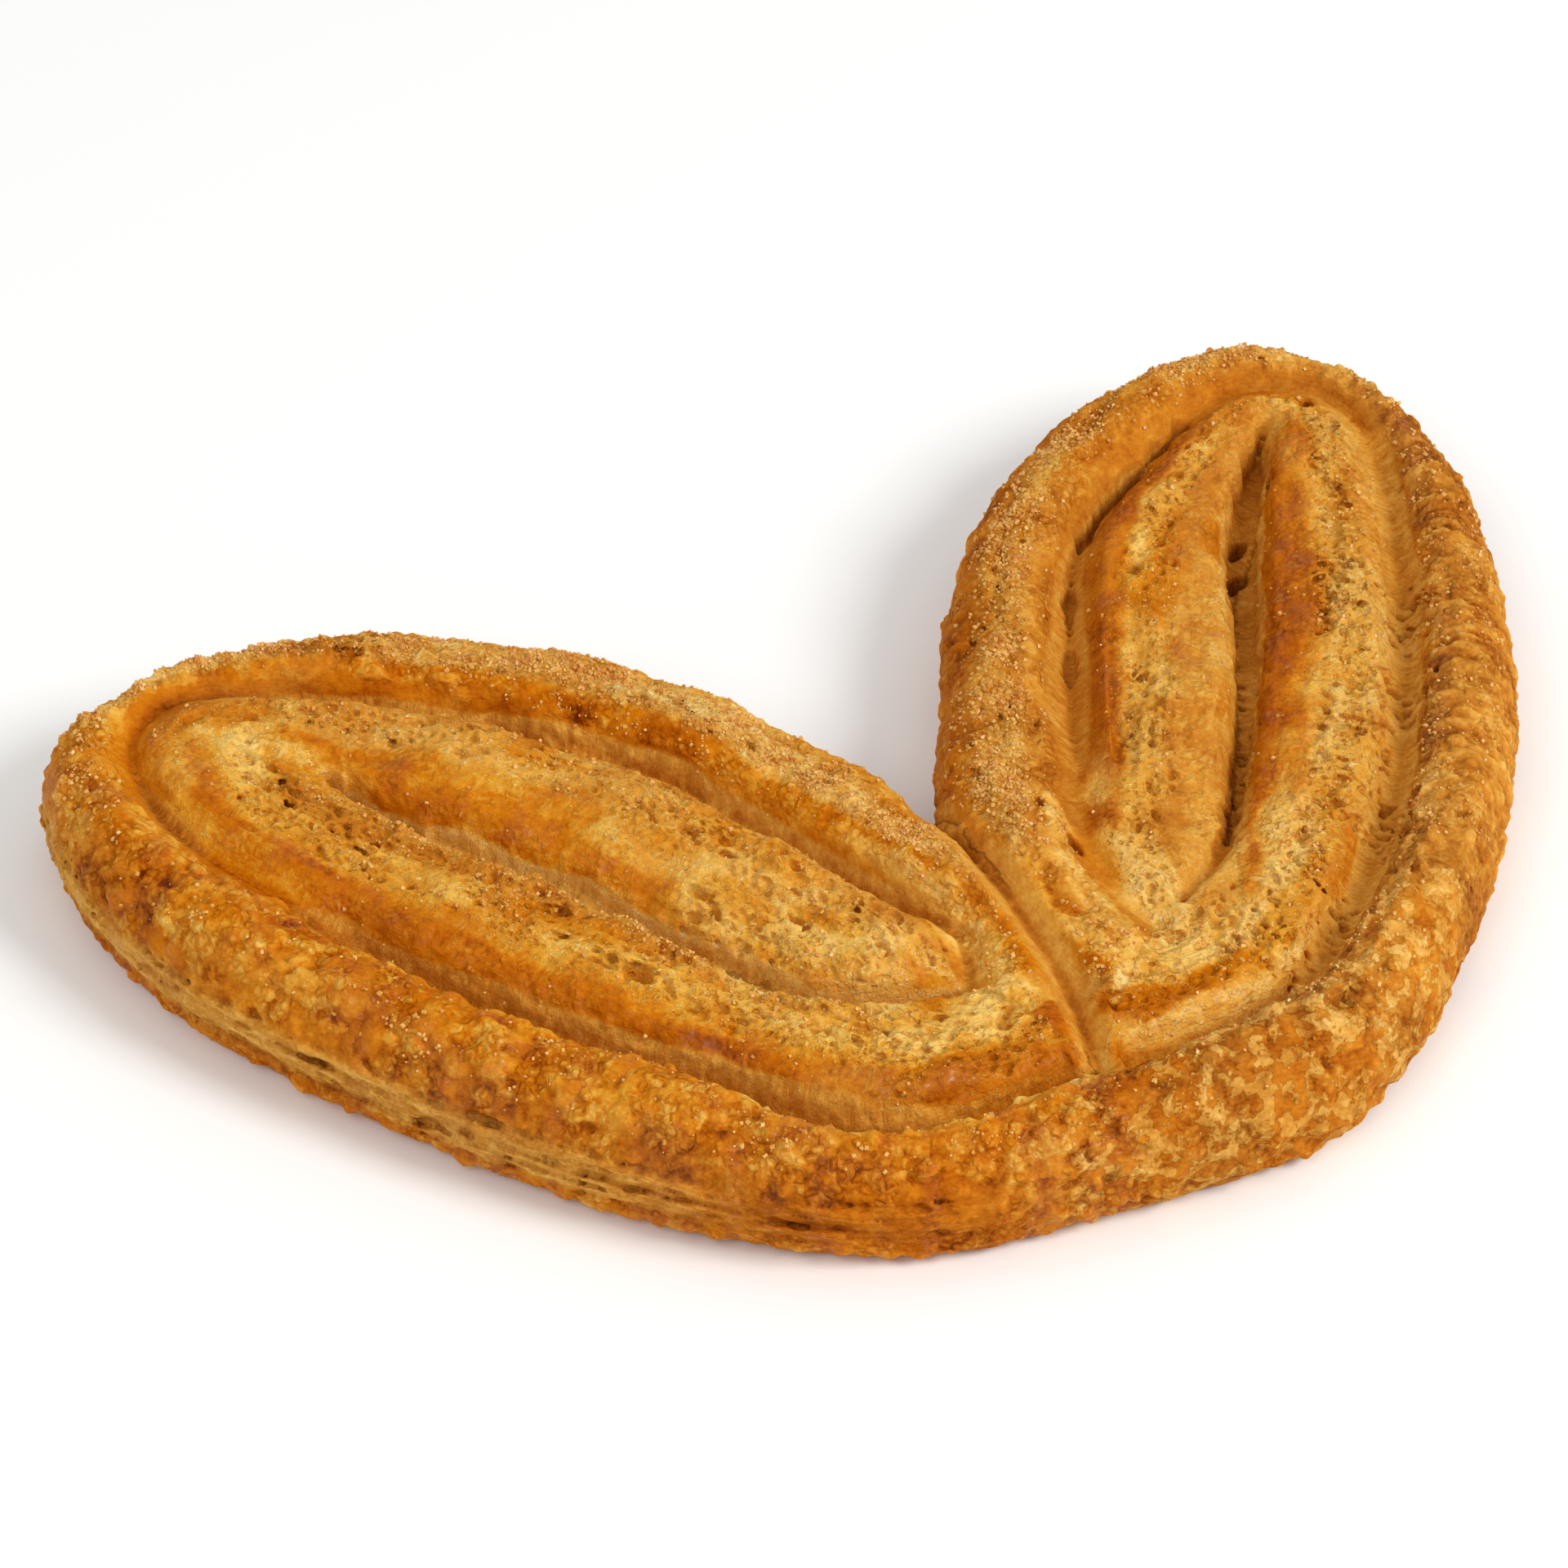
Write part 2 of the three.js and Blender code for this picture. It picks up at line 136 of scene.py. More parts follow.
# streaks of colour: place, reach along and across the ribbon, how baked and how dull
streaks = [
    (-62, 38, 5, 2.5, 0.16, 0.2), (-55, 36, 6, 2.5, 0.06, 0.25), (-42, 32, 9, 1.8, 0.30, 0.5),
    (-33, 22, 8, 1.8, 0.28, 0.5), (-50, 29, 4, 1.8, 0.36, 0.0), (-45, 25.5, 3, 1.4, 0.66, 0.0),
    (-41, 21, 4, 1.8, 0.68, 0.05), (-36, 14, 6, 2, 0.56, 0.0), (-32, 6, 5, 2, 0.40, 0.0),
    (-24, -4, 8, 4, 0.14, 0.45), (-17, -22, 7, 4, 0.12, 0.5), (-52, 25, 6, 1.8, 0.56, 0.4),
    (-46, 14, 7, 2, 0.56, 0.4), (-37, 2, 7, 1.8, 0.52, 0.4), (-60, 22, 4, 2, 0.42, 0.0),
    (-54, 9, 5, 2, 0.70, 0.1), (-46, -8, 8, 2, 0.66, 0.0), (-37, -22, 8, 2, 0.74, 0.0),
    (-26, -34, 7, 2.4, 0.46, 0.35), (-32, -36, 9, 1.2, 0.24, 0.5), (-14, -42.5, 8, 1.5, 0.28, 0.5),
    (-18, -31, 5, 3, 0.08, 0.4), (-9, -31, 6, 4, 0.06, 0.35), (-15, -38, 10, 1.8, 0.60, 0.25),
    (-64, 0, 12, 3, 0.50, 0.15), (-40, -30, 9, 4, 0.50, 0.15), (-35, -38, 9, 3, 0.60, 0.25),
    (-23.5, 26, 1.4, 0.9, 0.98, 0.0), (-29, 31, 4, 1.6, 0.74, 0.1), (-6, -20, 7, 2.4, 0.26, 0.3),
    (-16, 22, 9, 1.3, 0.18, 0.6), (-10, 6, 9, 1.3, 0.18, 0.6), (-7.5, -8, 8, 1.3, 0.20, 0.55),
    (-60, 44, 5, 3, 0.62, 0.2), (-50, 44, 7, 3, 0.50, 0.5), (-42, 46, 6, 2.5, 0.64, 0.2),
    (2.6, -23, 11, 1.4, 0.72, 0.05), (2.4, -32, 5, 2, 0.72, 0.0), (12, -18, 6, 2, 0.10, 0.5),
    (16, -7, 4, 2, 0.22, 0.6), (35, 17, 3, 1.2, 0.50, 0.0), (24, 8, 10, 2, 0.76, 0.1),
    (12, -24, 9, 3.4, 0.05, 0.5), (31, -12, 3.5, 1.5, 0.62, 0.0), (44, 6, 10, 2.5, 0.76, 0.0),
    (37, -4, 6, 2, 0.74, 0.0), (36, -18, 10, 1.6, 0.40, 0.0), (22, -32, 8, 1.8, 0.38, 0.05),
    (52, 4, 12, 2, 0.20, 0.5), (40, -11, 10, 2.2, 0.10, 0.45), (27, -24, 9, 2.6, 0.06, 0.5),
    (60, 4, 10, 1.6, 0.68, 0.3), (46, -13, 9, 1.6, 0.66, 0.3), (34, -28, 8, 1.6, 0.60, 0.3),
    (8, -32, 7, 2.6, 0.08, 0.35), (0.4, -36, 3.6, 2.0, 0.88, 0.0), (6, -37.4, 5, 1.8, 0.64, 0.0),
    (12.5, -36, 6, 1.4, 0.46, 0.0), (8, -41.4, 8, 1.2, 0.30, 0.4), (-5, -46.5, 9, 1.6, 0.62, 0.05),
    (-3.6, -51, 6, 3, 0.50, 0.25), (13, -51, 9, 4, 0.54, 0.25), (28, -43, 7, 3, 0.46, 0.35),
    (6, -56, 8, 3, 0.64, 0.2), (39, 19, 9, 2.6, 0.62, 0.1), (46, 40, 9, 4, 0.58, 0.3),
    (60, 17, 8, 3, 0.46, 0.3), (47, 21, 4, 2.2, 0.70, 0.1), (-6, -20, 8, 2.6, 0.12, 0.4),
    (-66, 29, 6, 3, 0.38, 0.1), (29, -19, 6, 2.2, 0.10, 0.45), (5, -33.4, 4, 1.5, 0.14, 0.35),
    (-20, -14, 6, 3, 0.10, 0.5), (-22, -41, 6, 1.8, 0.60, 0.1), (-55, -5, 10, 2.4, 0.74, 0.0),
    (-29, -47, 9, 3, 0.66, 0.1), (-64, 30, 5, 2, 0.28, 0.0), (3, -34, 3, 2, 0.06, 0.4),
    (-3, -41, 3, 2, 0.66, 0.05), (-54, 42, 6, 2, 0.50, 0.2), (10, -16, 5, 2, 0.50, 0.2),
    (-28, 5, 5, 2.4, 0.20, 0.3), (30, -27, 8, 2, 0.40, 0.2), (56, 38, 8, 4, 0.60, 0.3),
    (59, 27, 4, 2, 0.36, 0.2), (-18, 0, 8, 2.4, 0.42, 0.15), (42, -6, 6, 2, 0.34, 0.3),
    (15, -19, 5, 2, 0.10, 0.5), (-8, -53, 5, 3, 0.42, 0.3), (7, -56, 6, 2.4, 0.74, 0.2),
    (-23, -45, 7, 2.4, 0.66, 0.15), (34, -1, 5, 2, 0.50, 0.3), (6.5, -25, 7, 1.6, 0.16, 0.5),
    (21, -22, 5, 2, 0.24, 0.3), (-30, 22, 6, 2, 0.50, 0.1), (-38, -2, 7, 2, 0.56, 0.05),
    (23, -17, 5, 2, 0.36, 0.3), (-26, -18, 6, 2, 0.16, 0.4), (-41, -25, 8, 2, 0.66, 0.05),
    (56, -2, 5, 2, 0.50, 0.5), (-2, -42, 3, 1.6, 0.74, 0.05), (-23, -5, 5, 2, 0.34, 0.2),
    (9, -11, 4, 1.6, 0.16, 0.5), (6.5, -18, 5, 1.6, 0.14, 0.5), (-66, 20, 6, 1.6, 0.66, 0.1),
    (-9, -43.4, 5, 1.4, 0.34, 0.4), (16, -41, 5, 1.8, 0.34, 0.45), (22.5, -19, 5, 2, 0.22, 0.3),
    (34, -13, 5, 1.8, 0.40, 0.2), (-52, 35, 5, 2, 0.10, 0.3), (40, -16, 5, 1.8, 0.24, 0.4),
    (62, -5, 6, 2, 0.68, 0.4), (-21, -56, 9, 3, 0.42, 0.2), (-59, -15, 8, 3, 0.52, 0.2),
    (-60, 13, 6, 2, 0.74, 0.0), (3, -28, 6, 1.4, 0.24, 0.35), (-13, -52, 9, 6, 0.40, 0.3),
    (10, -40, 9, 2, 0.22, 0.35), (5, -36.8, 6, 1.9, 0.72, 0.0), (11, -36.8, 6, 1.7, 0.54, 0.0),
    (-1.5, -38, 3, 2, 0.36, 0.2), (-21, -46, 6, 2, 0.68, 0.1), (40, -16, 8, 2.4, 0.36, 0.3),
    (32, -28, 8, 2.4, 0.62, 0.2), (48, -3, 8, 2, 0.34, 0.3), (-9, -43, 5, 2.0, 0.22, 0.4),
    (-51, -19, 7, 2.4, 0.52, 0.1), (2.4, -17, 6, 1.8, 0.30, 0.3), (-73, 20.5, 6, 3, 0.50, 0.1),
    (-65, 40, 8, 4, 0.42, 0.1), (58, 0, 9, 2, 0.36, 0.3), (0, -42.5, 5, 1.6, 0.58, 0.0),
    (22, -20, 6, 2, 0.30, 0.4), (30, -43, 8, 3, 0.44, 0.3),
]

# colour across each band, from its groove (0) to the fissure or the rim (1): place, how baked, how dull
bandColours = {
    "leftFrontInner": [(0, 0.50, 0.05), (0.12, 0.60, 0), (0.26, 0.66, 0), (0.34, 0.38, 0.1),
        (0.46, 0.24, 0.2), (0.66, 0.28, 0.25), (0.76, 0.46, 0.35), (0.90, 0.48, 0.35), (0.97, 0.20, 0.5)],
    "leftBackInner": [(0, 0.50, 0.3), (0.14, 0.44, 0.45), (0.24, 0.28, 0.45), (0.46, 0.26, 0.4),
        (0.55, 0.38, 0.1), (0.70, 0.52, 0), (0.86, 0.50, 0.05), (0.96, 0.22, 0.5)],
    "rightFrontInner": [(0, 0.26, 0.5), (0.16, 0.22, 0.5), (0.46, 0.22, 0.45), (0.56, 0.42, 0.3),
        (0.66, 0.64, 0.05), (0.90, 0.68, 0), (0.97, 0.38, 0.5)],
    "rightBackInner": [(0, 0.60, 0.6), (0.08, 0.72, 0.15), (0.24, 0.72, 0.1), (0.33, 0.22, 0.35),
        (0.50, 0.22, 0.4), (0.60, 0.42, 0.4), (0.72, 0.42, 0.4), (0.84, 0.32, 0.45), (0.97, 0.34, 0.55)],
    "leftFrontOuter": [(0, 0.60, 0), (0.08, 0.70, 0), (0.24, 0.66, 0), (0.36, 0.56, 0),
        (0.66, 0.58, 0.02), (0.85, 0.64, 0.25), (1, 0.62, 0.35)],
    "leftBackOuter": [(0, 0.40, 0.4), (0.08, 0.58, 0.1), (0.28, 0.56, 0.02), (0.38, 0.32, 0.5),
        (0.60, 0.30, 0.5), (0.74, 0.38, 0.25), (1, 0.44, 0.3)],
    "rightFrontOuter": [(0, 0.34, 0.45), (0.08, 0.64, 0.3), (0.16, 0.64, 0.4), (0.26, 0.56, 0.55),
        (1, 0.62, 0.55)],
    "rightBackOuter": [(0, 0.62, 0.5), (0.14, 0.58, 0.4), (0.30, 0.46, 0.45), (0.58, 0.38, 0.5),
        (0.74, 0.50, 0.3), (0.86, 0.64, 0.15), (1, 0.60, 0.3)],
}
# the walls go by the number of the groove's points instead
wallColours = {
    "leftWall": [(0, 0.56, 0.3), (0.35, 0.48, 0.3), (0.8, 0.32, 0.4), (1.2, 0.30, 0.5), (2.0, 0.30, 0.5),
        (3.0, 0.44, 0.5), (7.0, 0.40, 0.5), (8, 0.32, 0.45), (14, 0.32, 0.5)],
    "rightWall": [(0, 0.50, 0.3), (0.5, 0.34, 0.4), (1.2, 0.32, 0.5), (5.2, 0.32, 0.55), (6.8, 0.36, 0.5),
        (8.2, 0.40, 0.55), (9.4, 0.44, 0.5), (14, 0.44, 0.5)],
    "leftCleft": [(0, 0.20, 0.65), (14, 0.26, 0.65)],
    "rightCleft": [(0, 0.40, 0.6), (14, 0.46, 0.5)],
}


# wraps a node socket so that shader maths reads as a sum
class Maths:

    def __init__(self, nodes, socket):
        self.nodes = nodes
        self.socket = socket

    def math(self, operation, *values):
        return self.nodes.add("ShaderNodeMath", {"operation": operation}, *values)

    def __add__(self, other):
        return self.math("ADD", self, other)

    def __mul__(self, other):
        return self.math("MULTIPLY", self, other)

    def __sub__(self, other):
        return self.math("SUBTRACT", self, other)

    def __rsub__(self, other):
        return self.math("SUBTRACT", other, self)

    __radd__ = __add__
    __rmul__ = __mul__

    # 0 up to low, 1 from high on, smooth in between
    def step(self, low, high):
        return self.nodes.add("ShaderNodeMapRange", {"interpolation_type": "SMOOTHSTEP"}, self, low, high)


# a material's node tree, filled from code
class Nodes:

    def __init__(self, name, **principled):
        self.material = bpy.data.materials.new(name)
        self.material.use_nodes = True
        self.tree = self.material.node_tree
        self.shader = self.tree.nodes["Principled BSDF"]
        self.set(**principled)

    # plain values or links for the shader's own sockets
    def set(self, **principled):
        for key, value in principled.items():
            self.put(self.shader.inputs[key.replace("_", " ")], value)

    # a node with its settings made first, then its inputs in order or by name; gives its first output
    def add(self, kind, settings=None, *values, output=0, **named):
        node = self.tree.nodes.new(kind)
        for key, value in (settings or {}).items():
            setattr(node, key, value)
        pairs = list(zip(node.inputs, values))
        pairs += [(node.inputs[key.replace("_", " ")], value) for key, value in named.items()]
        for socket, value in pairs:
            self.put(socket, value)
        return Maths(self, node.outputs[output])

    def put(self, socket, value):
        if isinstance(value, Maths):
            self.tree.links.new(value.socket, socket)
        else:
            socket.default_value = value

    def attribute(self, name):
        return self.add("ShaderNodeAttribute", {"attribute_name": name}, output=2)

    # object coordinates, in metres
    def coordinates(self):
        return self.add("ShaderNodeTexCoord", None, output=3)

    def mix(self, share, first, second):
        node = self.tree.nodes.new("ShaderNodeMix")
        node.data_type = "RGBA"
        for index, value in ((0, share), (6, first), (7, second)):
            self.put(node.inputs[index], value)
        return Maths(self, node.outputs[2])

    def noise(self, places, scale, detail=2.0, roughness=0.5):
        return self.add("ShaderNodeTexNoise", None, Vector=places, Scale=scale, Detail=detail,
                        Roughness=roughness)

    # a colour for each value, from stops of (value, colour)
    def ramp(self, value, stops):
        node = self.tree.nodes.new("ShaderNodeValToRGB")
        for index, (position, tone) in enumerate(stops):
            element = node.color_ramp.elements[index] if index < 2 else node.color_ramp.elements.new(position)
            element.position = position
            element.color = tone
        self.put(node.inputs[0], value)
        return Maths(self, node.outputs[0])


# sRGB 0-255 to a linear colour
def colour(red, green, blue):
    return tuple((value / 255 / 12.92) if value <= 10 else ((value / 255 + 0.055) / 1.055) ** 2.4
                 for value in (red, green, blue)) + (1.0,)


def step(value, low, high):
    t = np.clip((value - low) / (high - low), 0, 1)
    return t * t * (3 - 2 * t)


# a smooth hill: 0 below low, 1 between the middle pair, 0 again above high
def hill(value, low, full, ending, high):
    return step(value, low, full) * (1 - step(value, ending, high))


def blend(target, value, share):
    return target + (value - target) * share


# the lower of two distances, with the edge between the two forms rounded
def melt(first, second, softness):
    mixing = np.clip(0.5 + 0.5 * (first - second) / softness, 0, 1)
    return first + (second - first) * mixing - softness * mixing * (1 - mixing)


# a smooth curve through the points
def curveThrough(points, perStretch=8):
    points = np.array(points, float)
    ends = [2 * points[0] - points[1], *points, 2 * points[-1] - points[-2]]
    out = []
    for p0, p1, p2, p3 in zip(ends, ends[1:], ends[2:], ends[3:]):
        t0, t1, t2 = (max(np.hypot(*(b - a)) ** 0.5, 1e-4) for a, b in ((p0, p1), (p1, p2), (p2, p3)))
        slope1 = ((p1 - p0) / t0 - (p2 - p0) / (t0 + t1) + (p2 - p1) / t1) * t1
        slope2 = ((p2 - p1) / t1 - (p3 - p1) / (t1 + t2) + (p3 - p2) / t2) * t1
        w = np.arange(perStretch)[:, None] / perStretch
        out.append(p1 + slope1 * w + (3 * (p2 - p1) - 2 * slope1 - slope2) * w ** 2
                   + (2 * (p1 - p2) + slope1 + slope2) * w ** 3)
    return np.vstack([*out, points[-1:]])


# for every place: distance to a line, length along it, control point number, and whether the loop holds it
def measure(line, x, y, perStretch=8):
    best = np.full(x.shape, np.inf, np.float32)
    along = np.zeros(x.shape, np.float32)
    spoke = np.zeros(x.shape, np.float32)
    inside = np.zeros(x.shape, bool)
    length = 0.0
    closed = np.vstack([line, line[:1]])
    for index, (a, b) in enumerate(zip(closed, closed[1:])):
        dx, dy = b - a
        crosses = (a[1] > y) != (b[1] > y)
        if dy:
            inside ^= crosses & (x < a[0] + (y - a[1]) * dx / dy)
        if index == len(line) - 1:
            break
        size = math.hypot(dx, dy)
        part = np.clip(((x - a[0]) * dx + (y - a[1]) * dy) / size ** 2, 0, 1)
        off = np.hypot(x - a[0] - part * dx, y - a[1] - part * dy)
        nearer = off < best
        best[nearer] = off[nearer]
        along[nearer] = length + part[nearer] * size
        spoke[nearer] = (index + part[nearer]) / perStretch
        length += size
    return {"far": best, "along": along, "spoke": spoke, "inside": inside}


# weights of the three lattice points round a place, for smooth noise
def blendWeights(part):
    return 0.5 * (1 - part) ** 2, 0.5 + part - part ** 2, 0.5 * part ** 2


# smooth random values with a spread of 1, with bumps as large as one unit of the given coordinates
def noiseAt(seed, *axes):
    rng = np.random.default_rng(seed)
    cells, weights = [], []
    for axis in axes:
        axis = axis - axis.min() + 1.5
        cell = np.floor(axis).astype(np.int32)
        cells.append(cell)
        weights.append(blendWeights((axis - cell).astype(np.float32)))
    lattice = rng.uniform(-1, 1, [int(cell.max()) + 2 for cell in cells]).astype(np.float32)
    total = 0
    for corner in np.ndindex(*(3,) * len(axes)):
        weight = math.prod(parts[offset] for parts, offset in zip(weights, corner))
        total = total + weight * lattice[tuple(cell + offset - 1 for cell, offset in zip(cells, corner))]
    return total / total.std()


# the same in space, worked out one axis at a time and read at the shell
def spaceNoise(seed, size):
    tables = []
    for count in field.shape:
        places = np.arange(count) * voxel / size + 1.5
        cell = np.floor(places).astype(int)
        table = np.zeros((count, cell[-1] + 2), np.float32)
        for offset, weight in enumerate(blendWeights(places - cell)):
            table[np.arange(count), cell + offset - 1] = weight
        tables.append(table)
    rng = np.random.default_rng(seed)
    values = rng.uniform(-1, 1, [table.shape[1] for table in tables]).astype(np.float32)
    for table in tables:
        values = np.tensordot(values, table, (0, 1))
    values = values[shell]
    return values / values.std()


def blurred(values, radius):
    reach = np.arange(-int(2.5 * radius / voxel) - 1, int(2.5 * radius / voxel) + 2)
    weights = np.exp(-0.5 * (reach * voxel / radius) ** 2).astype(np.float32)
    weights /= weights.sum()
    for axis in range(values.ndim):
        total = np.zeros_like(values)
        for offset, weight in zip(reach, weights):
            total += weight * np.roll(values, offset, axis)
        values = total
    return values


print("field")
voxel = dough["voxel"]
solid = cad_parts["palmier"].data
corners = np.empty(len(solid.vertices) * 3, np.float32)
solid.vertices.foreach_get("co", corners)
corners = corners.reshape(-1, 3) / mm
solid.calc_loop_triangles()
faces = np.empty(len(solid.loop_triangles) * 3, np.int32)
solid.loop_triangles.foreach_get("vertices", faces)
grid = openvdb.FloatGrid.createLevelSetFromPolygons(
    corners, triangles=faces.reshape(-1, 3).astype(np.uint32),
    transform=openvdb.createLinearTransform(voxelSize=voxel), halfWidth=dough["band"] / voxel)
low, high = (np.array(corner) for corner in grid.evalActiveVoxelBoundingBox())
field = np.empty(high - low + 1, np.float32)
grid.copyToArray(field, ijk=tuple(int(value) for value in low))
field = blurred(field, dough["smoothing"])
axisX, axisY, axisZ = (voxel * (np.arange(count, dtype=np.float32) + first)
                       for count, first in zip(field.shape, low))

print("maps")
rimPoints = [dough["notch"], *dough["leftRim"][::-1], dough["heel"], *dough["rightRim"], dough["notch"]]
rimLine = curveThrough(rimPoints)
middle = (rimLine.min(0) + rimLine.max(0)) / 2
planX, planY = np.meshgrid(axisX + middle[0], axisY + middle[1], indexing="ij")
rim = measure(rimLine, planX, planY)
seam = measure(curveThrough([dough["notch"], *dough["seam"], dough["junction"]]), planX, planY)
creases = {}
for side in ("left", "right"):
    groovePoints = [dough["junction"], *dough[side + "Groove"], dough[side + "Fissure"][0]]
    creases[side + "Groove"] = measure(curveThrough(groovePoints), planX, planY)
    creases[side + "Fissure"] = measure(curveThrough(dough[side + "Fissure"]), planX, planY)
onLeft = creases["leftGroove"]["far"] < creases["rightGroove"]["far"]
left = onLeft.astype(np.float32)
place, cleft = ({key: np.where(onLeft, creases["left" + kind][key], creases["right" + kind][key])
                 for key in rim} for kind in ("Groove", "Fissure"))
rimDistance = np.where(rim["inside"], rim["far"], -rim["far"])
inner = place["inside"]
spoke = place["spoke"]
crease = np.minimum(place["far"], cleft["far"])
anyCrease = np.minimum(crease, np.where(inner, 99, seam["far"]))
acrossX, acrossY = np.gradient(np.where(inner, place["far"], -place["far"]))
steepness = np.hypot(acrossX, acrossY) + 1e-6
acrossX, acrossY = acrossX / steepness, acrossY / steepness


# the map's row and column nearest to a place, and the direction across the ribbon there
def nearest(x, y):
    row = np.unravel_index(np.argmin(np.hypot(planX - x, planY - y)), planX.shape)
    return row, acrossX[row], acrossY[row]


# a spot drawn out along the ribbon, with an uneven edge
def streak(x, y, along, across):
    _, nx, ny = nearest(x, y)
    offX, offY = planX - x, planY - y
    away = np.hypot((offX * nx + offY * ny) / across, (offY * nx - offX * ny) / along)
    return 1 - step(away + 0.14 * unevenness, 0.55, 1.25)


# the crumb's share of an inner band, front and back of one side
def crumbOf(side):
    return (front * hill(bandShare, *crumbShares[side + "Front"])
            + (1 - front) * hill(bandShare, *crumbShares[side + "Back"]))


# Shares across the bands: 0 at the groove, and 1 at the fissure or at the rim.
# Fronts face the heel of the heart.
unevenness = noiseAt(dough["seed"] + 50, planX / 2.5, planY / 2.5)
bandShare = place["far"] / (place["far"] + cleft["far"] + 1e-3) + 0.02 * unevenness
outward = place["far"] / (place["far"] + np.maximum(rimDistance, 0) + 1e-3)
front = 1 - step(spoke, 5, 6.5)
heelStart = 1 - step(spoke, 1, 2.4)
outer = (~inner).astype(np.float32)
crust = outer * step(place["far"], 1.4, 2.6) * step(seam["far"], 1.5, 3.5)
turnEnd = np.maximum.reduce([streak(*spot) for spot in dough["turnEnds"]])
turnEnd *= inner * step(crease, 1.5, 3)
lip = crust * front * (1 - step(place["far"], 3.2, 5.4))
zones = {
    "wall": 1 - step(anyCrease, 0.8, 2.2),
    "crumb": np.maximum(turnEnd, inner * np.where(onLeft, crumbOf("left"), crumbOf("right"))),
    "comb": inner * (1 - left) * front * step(spoke, 0.6, 1.4) * hill(bandShare, 0.20, 0.28, 0.48, 0.56),
    "blister": crust * left * (1 - step(spoke, 6.6, 9)) * (1 - 0.8 * lip),
    "bark": crust * (1 - left) * front * (1 - heelStart),
    "flake": crust * np.maximum((1 - left) * heelStart, streak(-6, -50, 10, 6)),
    "layers": left * (1 - step(spoke, 5, 8)) * hill(rimDistance, -2, -0.6, 0.5, 2.5),
    "web": (1 - left) * hill(spoke, 0.8, 1.8, 3.8, 4.8) * np.maximum(
        1 - step(place["far"], 2.2, 3.4), 0.5 * (1 - step(cleft["far"], 1.0, 2.0)) * (1 - step(spoke, 3, 4))),
    "strip": crust * (1 - front) * hill(outward, 0.3, 0.42, 0.66, 0.8),
    "ridge": inner * left * front * hill(bandShare, 0.72, 0.8, 0.9, 0.98),
}
rest = (1 - zones["crumb"]) * (1 - zones["ridge"])
zones["flank"] = np.maximum(inner * step(crease, 0.9, 1.9) * rest, lip)
zones["edge"] = crust * (1 - front) * (1 - zones["strip"]) * (1 - zones["blister"])
zones = {name: values.astype(np.float32) for name, values in zones.items()}

print("relief")
seed = dough["seed"]
shell = np.nonzero((np.abs(field) < relief["reach"]) & (axisZ > 0.1))
shellZ = axisZ[shell[2]]
rimCell = (0.25, 0.1)                     # cells of the noise below: along the rim, and from it inwards
rimSpan = (-6, 62)                        # how far that noise goes, from outside the rim inwards


# noise that follows the rim, over the shoulder and down the side
def rimNoise(seed, along, across):
    reach = np.arange(0, rim["along"].max() + 1, rimCell[0]), np.arange(*rimSpan, rimCell[1])
    table = noiseAt(seed, *np.meshgrid(reach[0] / along, reach[1] / across, indexing="ij")).astype(np.float32)
    row = (rim["along"] / rimCell[0]).astype(np.int32)[shell[:2]]
    column = ((rimDistance[shell[:2]] + shellZ - rimSpan[0]) / rimCell[1]).astype(np.int32)
    return table[row, np.clip(column, 0, table.shape[1] - 1)]


# the distance from the groove, counted apart on the two sides of it and of the heart
signedFar = np.where(inner, -1, 1) * place["far"] + 200 * left


# noise in lines that follow the ribbon, seen from above
def ribbonNoise(seed, along, across):
    return noiseAt(seed, place["along"] / along, signedFar / across).astype(np.float32)


def lines(offset, along, across):
    return ribbonNoise(seed + offset, along, across)[shell[:2]]


swell = spaceNoise(seed + 3, 3.4)
small = spaceNoise(seed + 2, 1.3)
lumps = relief["lumps"] * (np.abs(small) - 0.8)
small *= relief["lumps"]
pebbles = relief["pebbles"] * (np.abs(spaceNoise(seed + 1, 0.75)) - 0.8)
grit = spaceNoise(seed, 0.5)
sideZone = (1 - step(rimDistance, 1.5, 4.5))[shell[:2]] * hill(shellZ, 3.0, 4.2, 7.6, 9.6)
layered = sideZone * (left * (1 - step(spoke, 5, 8)) * (1 - step(planX, -30, -12)))[shell[:2]]
bark = np.abs(rimNoise(seed + 5, 0.6, 1.5)) - 0.8 + 0.3 * rimNoise(seed + 15, 1.2, 3)
broken = step(ribbonNoise(seed + 10, 4, 2), -0.8, 1)[shell[:2]]
heights = {
    "blister": lumps + pebbles,
    "bark": relief["scales"] * bark + pebbles,
    "flake": pebbles + small,
    "strip": relief["ridges"] * lines(18, 5, 1.0) + pebbles,
    "edge": 0.9 * lumps + 0.9 * pebbles,
    "ridge": lumps + pebbles,
    "crumb": relief["ridges"] * (0.7 * lines(8, 6, 0.8) + 0.5 * lines(28, 3.5, 0.45)) + pebbles,
    "flank": 0.6 * lumps + 0.4 * pebbles + 0.3 * relief["ridges"] * lines(29, 5, 0.6),
    "wall": relief["threads"] * lines(9, 0.7, 3) * broken + 0.5 * small,
}
change = relief["swell"] * swell * step(anyCrease, 1, 4)[shell[:2]] + relief["grit"] * grit
for name, value in heights.items():
    change += zones[name][shell[:2]] * (1 - layered) * value
sheets = rimNoise(seed + 6, 9, 0.6) + 0.6 * rimNoise(seed + 16, 2, 0.7)
slits = step(rimNoise(seed + 7, 1.6, 0.32), 0.9, 1.5)
change += layered * (relief["sheets"] * sheets - relief["slits"] * slits)
change = change * step(shellZ, 0.1, 1.2) - relief["inset"]
field[shell] -= np.clip(change, -relief["deepest"], relief["highest"])
del heights, swell, sheets, slits, broken, grit, small, lumps, pebbles, sideZone, change


